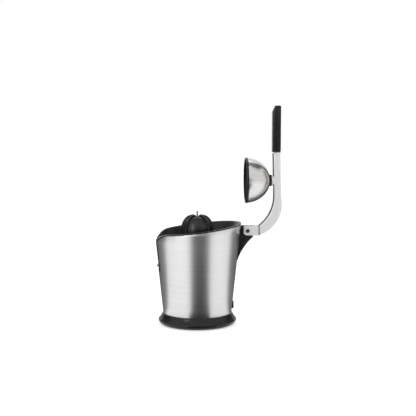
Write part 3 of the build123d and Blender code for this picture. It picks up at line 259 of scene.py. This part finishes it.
def black_plastic(name, dark, light, roughness, grain, sheen):
    """Moulded black plastic with a fine grain, between two shades and two values of roughness."""
    material, shader = new_material(name, light, 0.0, roughness[0])
    shader.inputs["Specular IOR Level"].default_value = sheen
    spots = noise_of(material, 900.0, EVEN)
    patches = noise_of(material, 25.0, EVEN)
    vary(material, patches, shader.inputs["Roughness"], *roughness)
    tint(material, patches, shader.inputs["Base Color"], dark, light)
    bump(material, spots, shader, grain, PLASTIC_RELIEF)
    return material


def silver_paint():
    """Satin silver paint with fine flakes."""
    material, shader = new_material("silver_paint", grey(0.76), 0.3, 0.4)
    flakes = noise_of(material, 2500.0, EVEN)
    tint(material, flakes, shader.inputs["Base Color"], grey(0.72), grey(0.8))
    bump(material, flakes, shader, 0.05, FINE_RELIEF)
    return material


def clear_plastic():
    """Clear plastic, a little hazy."""
    material, shader = new_material("clear_plastic", (0.94, 0.945, 0.945), 0.0, 0.05)
    shader.inputs["Transmission Weight"].default_value = 1.0
    shader.inputs["IOR"].default_value = 1.36
    haze = noise_of(material, 40.0, EVEN)
    vary(material, haze, shader.inputs["Roughness"], 0.06, 0.12)
    return material


def plain_plastic(name, dark, light, roughness):
    """Moulded plastic of one colour with slight variation."""
    material, shader = new_material(name, light, 0.0, roughness)
    patches = noise_of(material, 40.0, EVEN)
    tint(material, patches, shader.inputs["Base Color"], dark, light)
    bump(material, noise_of(material, 700.0, EVEN), shader, 0.06, PLASTIC_RELIEF)
    return material


def rubber():
    """Matt black rubber."""
    material, shader = new_material("rubber", grey(0.018), 0.0, 0.7)
    grain = noise_of(material, 1200.0, EVEN)
    tint(material, grain, shader.inputs["Base Color"], grey(0.012), grey(0.024))
    bump(material, grain, shader, 0.15, 0.00008)
    return material


def plain_metal(name, dark, light, roughness):
    """Plain machined metal."""
    material, shader = new_material(name, light, 1.0, roughness)
    marks = noise_of(material, 300.0, EVEN)
    tint(material, marks, shader.inputs["Base Color"], dark, light)
    vary(material, marks, shader.inputs["Roughness"], roughness - 0.06, roughness + 0.06)
    return material


def finishes():
    """One material for each slot of the record, and those of single nodes."""
    cone = black_plastic("cone_black", grey(0.003), grey(0.006), (0.3, 0.36), 0.06, CONE_SPECULAR)
    gloss = black_plastic("gloss_black", grey(0.006), grey(0.01), (0.26, 0.32), 0.04, BLACK_SPECULAR)
    satin_shades = grey(0.006), (0.011, 0.011, 0.012)
    slots = {
        "brushed_steel": sleeve_steel(),
        "polished_steel": polished_steel(),
        "black_plastic": black_plastic("satin_black", *satin_shades, (0.32, 0.4), 0.1, BLACK_SPECULAR),
        "grey_paint": silver_paint(),
        "clear_plastic": clear_plastic(),
        "grey_plastic": plain_plastic("grey_plastic", (0.42, 0.43, 0.44), (0.5, 0.51, 0.52), 0.35),
        "soft_black": rubber(),
        "tan_plastic": plain_plastic("tan_plastic", (0.24, 0.19, 0.07), (0.32, 0.26, 0.11), 0.4),
        "screw_steel": plain_metal("screw_steel", (0.5, 0.5, 0.51), (0.64, 0.64, 0.65), 0.3),
        "white_plastic": plain_plastic("white_plastic", (0.76, 0.76, 0.73), (0.84, 0.84, 0.81), 0.4),
        "bronze": plain_metal("bronze", (0.46, 0.32, 0.15), (0.6, 0.44, 0.23), 0.34),
    }
    singles = {
        "dome_shell": dome_steel(),
        "base_ring": gloss,
        "small_cone": cone,
        "large_cone": cone,
        "strainer_dish": satin_steel(),
    }
    return slots, singles


def round_edges(piece, radius):
    """Small rounded edges."""
    edge = piece.modifiers.new("edge", "BEVEL")
    edge.width = radius
    edge.segments = EDGE_SEGMENTS
    edge.limit_method = "ANGLE"
    edge.angle_limit = EDGE_ANGLE
    edge.harden_normals = True


def dress(frame, slots, singles):
    """Gives each CAD node its finish and small rounded edges."""
    for entry in frame["record"]["subparts"]:
        node = frame["nodes"][entry["node"]]
        node.data.materials.clear()
        node.data.materials.append(singles.get(entry["node"], slots[entry["material_slot"]]))
        for polygon in node.data.polygons:
            polygon.use_smooth = True
        weld = node.modifiers.new("weld", "WELD")
        weld.merge_threshold = WELD_DISTANCE
        round_edges(node, EDGE_RADIUS)


def hex_socket(flats):
    """How far a hexagonal socket reaches from its axis, by angle."""
    sixth = math.pi / 3
    return lambda turn: flats / 2 / math.cos((turn + sixth / 2) % sixth - sixth / 2)


def cross_recess(width, span):
    """How far a cross recess reaches from its axis, by angle."""
    quarter = math.pi / 2

    def reach(turn):
        off = abs((turn + quarter / 2) % quarter - quarter / 2)
        return min(span / 2 / math.cos(off), width / 2 / max(math.sin(off), width / span / 2))

    return reach


def screw_rings(head_r, head_h, shank_r, length, recess, depth):
    """A screw's skin from the tip of its thread to the floor of its recess, head's top at zero."""
    rings = [(shank_r / 2, -length)]
    turns = int((length - head_h) / THREAD_PITCH)
    for index in range(turns):
        height = -length + (index + 0.25) * THREAD_PITCH
        rings.append((shank_r - THREAD_DEPTH, height))
        rings.append((shank_r, height + THREAD_PITCH / 2))
    rings += [
        (shank_r, -head_h),
        (head_r, -head_h),
        (head_r, -HEAD_ROUND),
        (head_r - HEAD_ROUND, 0.0),
        (recess, 0.0),
        (recess, -depth),
    ]
    return rings


def add_piece(name, points, faces, material, body):
    """A closed mesh that rides on a body."""
    mesh = bpy.data.meshes.new(name)
    mesh.from_pydata(points, [], faces)
    sheet = bmesh.new()
    sheet.from_mesh(mesh)
    bmesh.ops.recalc_face_normals(sheet, faces=sheet.faces)
    sheet.to_mesh(mesh)
    sheet.free()
    mesh.materials.append(material)
    piece = bpy.data.objects.new(name, mesh)
    bpy.context.scene.collection.objects.link(piece)
    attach(piece, body)
    return piece


def screws(name, body, node, places, rings, material):
    """Screws of one kind as one piece, each with its head's top at a place and facing along an axis."""
    points, faces = [], []
    for place, axis in places:
        put = Matrix.Translation(place) @ Vector(axis).to_track_quat("Z", "Y").to_matrix().to_4x4()
        first = len(points)
        for reach, height in rings:
            for step in range(RING_STEPS):
                turn = math.tau * step / RING_STEPS
                radius = reach(turn) if callable(reach) else reach
                points.append(put @ Vector((radius * math.cos(turn), radius * math.sin(turn), height)))
        for ring in range(len(rings) - 1):
            low = first + ring * RING_STEPS
            for step in range(RING_STEPS):
                a, b = low + step, low + (step + 1) % RING_STEPS
                faces.append((a, b, b + RING_STEPS, a + RING_STEPS))
        faces.append(tuple(range(first + RING_STEPS - 1, first - 1, -1)))
        faces.append(tuple(range(len(points) - RING_STEPS, len(points))))
    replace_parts(add_piece(name, points, faces, material, body), node)


def all_screws(slots):
    """The screws that show, with their recesses and threads."""
    dark = plain_metal("bolt_steel", grey(0.1), grey(0.16), 0.32)
    steel = slots["screw_steel"]
    x, z = PIVOT
    sides = [((x, side * PIVOT_HEAD_Y, z), (0, side, 0)) for side in (-1, 1)]
    socket = screw_rings(*PIVOT_BOLT, hex_socket(SOCKET_FLATS), SOCKET_DEPTH)
    screws("pivot_bolts", "lever", "pivot_screws", sides, socket, dark)
    small = screw_rings(*GRIP_SCREW, cross_recess(*SMALL_CROSS), SMALL_CROSS_DEPTH)
    grips = [((GRIP_FACE_X, 0, height), (-1, 0, 0)) for height in GRIP_SCREW_Z]
    screws("grip_fasteners", "lever", "grip_screws", grips, small, steel)
    covers = []
    for angle in COVER_SCREW_ANGLES:
        turn = math.radians(angle)
        place = (COVER_SCREW_R * math.cos(turn), COVER_SCREW_R * math.sin(turn), COVER_Z)
        covers.append((place, (0, 0, -1)))
    cover = screw_rings(*COVER_SCREW, cross_recess(*SMALL_CROSS), SMALL_CROSS_DEPTH)
    screws("cover_fasteners", "base", "cover_screws", covers, cover, steel)
    large = screw_rings(*DOME_SCREW, cross_recess(*LARGE_CROSS), LARGE_CROSS_DEPTH)
    domes = [((DOME_SCREW_X, 0, DOME_Z), (-1, 0, 0))]
    screws("dome_fastener", "lever", "dome_screw", domes, large, slots["polished_steel"])


def square_fork(material):
    """The fork: a slotted bar whose front is square above and turns over the bracket's shelf below."""
    x, z = PIVOT
    low, high = z - FORK_R, z + FORK_R
    start = math.acos(FORK_NOSE / FORK_R)
    cheek = [(x - FORK_NOSE, high)]
    for step in range(FORK_STEPS + 1):
        turn = start + (math.pi / 2 - start) * step / FORK_STEPS
        cheek.append((x - FORK_R * math.cos(turn), z - FORK_R * math.sin(turn)))
    cheek += [(FORK_SLOT_X, low), (FORK_SLOT_X, high)]
    count = len(cheek)
    layers = (-FORK_HALF, -FORK_SLOT_HALF, FORK_SLOT_HALF, FORK_HALF)
    points = [(px, y, pz) for y in layers for px, pz in cheek]
    points += [(FORK_END_X, y, pz) for y in (-FORK_HALF, FORK_HALF) for pz in (low, high)]
    left_low, left_high, right_low, right_high = range(4 * count, 4 * count + 4)
    ring = list(range(count))
    slot_low = [layer * count + count - 2 for layer in range(4)]
    slot_high = [layer * count + count - 1 for layer in range(4)]
    faces = [
        ring[:-1] + [left_low, left_high, count - 1],
        [3 * count + index for index in ring[:-1]] + [right_low, right_high, slot_high[3]],
        [count + index for index in ring],
        [2 * count + index for index in ring],
        [slot_low[1], slot_high[1], slot_high[2], slot_low[2]],
        slot_low + [right_low, left_low],
        slot_high + [right_high, left_high],
        [left_low, right_low, right_high, left_high],
    ]
    for layer in (0, 2):
        near, far = layer * count, (layer + 1) * count
        for index in range(-1, count - 2):
            a, b = index % count, index + 1
            faces.append([near + a, near + b, far + b, far + a])
    fork = add_piece("square_fork", points, faces, material, "lever")
    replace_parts(fork, "hinge_fork")
    round_edges(fork, FORK_ROUND)


def wing_webs(material):
    """The flat-topped upper part of the small cone's two wings."""
    points, faces = [], []
    for side in (-1, 1):
        first = len(points)
        for y in (-WING_HALF, WING_HALF):
            points += [(side * reach, y, height) for reach, height in WING_WEB]
        count = len(WING_WEB)
        faces.append(list(range(first, first + count)))
        faces.append(list(range(first + count, first + 2 * count)))
        for index in range(count):
            a, b = first + index, first + (index + 1) % count
            faces.append([a, b, b + count, a + count])
    add_piece("wing_webs", points, faces, material, "cone_small")


def area_light(name, place, size, power):
    """A soft rectangular light that faces the juicer."""
    data = bpy.data.lights.new(name, "AREA")
    data.shape = "RECTANGLE"
    data.size, data.size_y = size
    data.energy = power
    light = bpy.data.objects.new(name, data)
    light.location = place
    light.rotation_euler = (Vector(AIM) - Vector(place)).to_track_quat("-Z", "Y").to_euler()
    bpy.context.scene.collection.objects.link(light)
    return light


def painted_reflection_card(name, points, shade):
    """A dark card that shows only in reflections on opaque pieces: a painted dark reflection."""
    mesh = bpy.data.meshes.new(name)
    mesh.from_pydata(points, [], [list(range(len(points)))])
    card = bpy.data.objects.new(name, mesh)
    bpy.context.scene.collection.objects.link(card)
    material, _ = new_material(name, grey(shade), 0.0, 1.0)
    mesh.materials.append(material)
    card.visible_camera = False
    card.visible_diffuse = False
    card.visible_transmission = False
    card.visible_shadow = False


def floor_painted_reflection(name, far, start_deg, end_deg, shade):
    """A sector on the floor, by angle from the front, that shows only in reflections as a painted dark
    reflection.
    """
    turns = [start_deg + (end_deg - start_deg) * step / CARD_STEPS for step in range(CARD_STEPS + 1)]
    ring = [(CARD_NEAR, turn) for turn in turns] + [(far, turn) for turn in reversed(turns)]
    points = []
    for reach, turn in ring:
        angle = math.radians(turn)
        points.append((reach * math.sin(angle), -reach * math.cos(angle), CARD_HEIGHT))
    painted_reflection_card(name, points, shade)


def painted_reflection_board(name, low, high, shade):
    """A dark upright or level board between two corners that shows only in reflections as a painted
    dark reflection.
    """
    (x0, y0, z0), (x1, y1, z1) = low, high
    if x0 == x1:
        points = [(x0, y0, z0), (x0, y1, z0), (x0, y1, z1), (x0, y0, z1)]
    else:
        points = [(x0, y0, z0), (x1, y0, z0), (x1, y1, z1), (x0, y1, z1)]
    painted_reflection_card(name, points, shade)


def seen(tree):
    """One for rays from the camera, and for those that metal or clear plastic send on."""
    path = tree.nodes.new("ShaderNodeLightPath")
    value = path.outputs["Is Camera Ray"]
    for kind in ("Is Glossy Ray", "Is Transmission Ray"):
        either = tree.nodes.new("ShaderNodeMath")
        either.operation = "MAXIMUM"
        tree.links.new(value, either.inputs[0])
        tree.links.new(path.outputs[kind], either.inputs[1])
        value = either.outputs["Value"]
    return value


def white_floor():
    """A white floor that keeps the juicer's shadow."""
    bpy.ops.mesh.primitive_plane_add(size=FLOOR_SIZE)
    floor = bpy.context.object
    floor.name = "floor"
    material, shader = new_material("floor", grey(FLOOR_SHADE), 0.0, 0.9)
    tree = material.node_tree
    lift = tree.nodes.new("ShaderNodeMath")
    lift.operation = "MULTIPLY"
    lift.inputs[1].default_value = FLOOR_LIFT
    tree.links.new(seen(tree), lift.inputs[0])
    shader.inputs["Emission Color"].default_value = (1, 1, 1, 1)
    tree.links.new(lift.outputs["Value"], shader.inputs["Emission Strength"])
    floor.data.materials.append(material)


def white_world():
    """A white backdrop that lights the juicer more softly than it looks."""
    world = bpy.data.worlds.new("studio")
    world.use_nodes = True
    tree = world.node_tree
    level = tree.nodes.new("ShaderNodeMix")
    level.inputs["A"].default_value = BACKDROP_LIGHT
    level.inputs["B"].default_value = BACKDROP_SEEN
    tree.links.new(seen(tree), level.inputs["Factor"])
    light = tree.nodes["Background"]
    light.inputs["Color"].default_value = (1, 1, 1, 1)
    tree.links.new(level.outputs["Result"], light.inputs["Strength"])
    bpy.context.scene.world = world


def stage():
    """The white floor and backdrop, the soft lights and the dark cards that paint dark reflections."""
    white_floor()
    white_world()
    for name, place, size, power, reflected in LIGHTS:
        area_light(name, place, size, power).visible_glossy = reflected
    for values in FLOOR_PAINTED_REFLECTIONS:
        floor_painted_reflection(*values)
    for values in PAINTED_REFLECTION_BOARDS:
        painted_reflection_board(*values)


def camera():
    """The photograph's camera, and a plain view transform."""
    data = bpy.data.cameras.new("camera")
    data.sensor_fit = "HORIZONTAL"
    data.angle = FIELD_OF_VIEW
    data.clip_end = CAMERA_REACH
    eye = bpy.data.objects.new("camera", data)
    level = math.cos(CAMERA_ELEVATION)
    back = Vector(
        (
            math.sin(CAMERA_AZIMUTH) * level,
            -math.cos(CAMERA_AZIMUTH) * level,
            math.sin(CAMERA_ELEVATION),
        )
    )
    eye.location = CAMERA_TARGET + back * CAMERA_DISTANCE
    eye.rotation_euler = (-back).to_track_quat("-Z", "Y").to_euler()
    bpy.context.scene.collection.objects.link(eye)
    bpy.context.scene.camera = eye
    bpy.context.scene.view_settings.view_transform = "Standard"


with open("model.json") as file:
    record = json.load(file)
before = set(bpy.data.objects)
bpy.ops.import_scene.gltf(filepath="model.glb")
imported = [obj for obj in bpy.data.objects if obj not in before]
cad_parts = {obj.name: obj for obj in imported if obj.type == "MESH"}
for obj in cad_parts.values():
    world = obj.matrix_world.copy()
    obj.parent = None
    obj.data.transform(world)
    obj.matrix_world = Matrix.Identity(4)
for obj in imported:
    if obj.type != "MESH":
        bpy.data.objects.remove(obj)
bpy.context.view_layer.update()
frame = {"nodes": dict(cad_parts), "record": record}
slot_finishes, node_finishes = finishes()
dress(frame, slot_finishes, node_finishes)
all_screws(slot_finishes)
square_fork(slot_finishes["grey_paint"])
wing_webs(node_finishes["small_cone"])
stage()
camera()
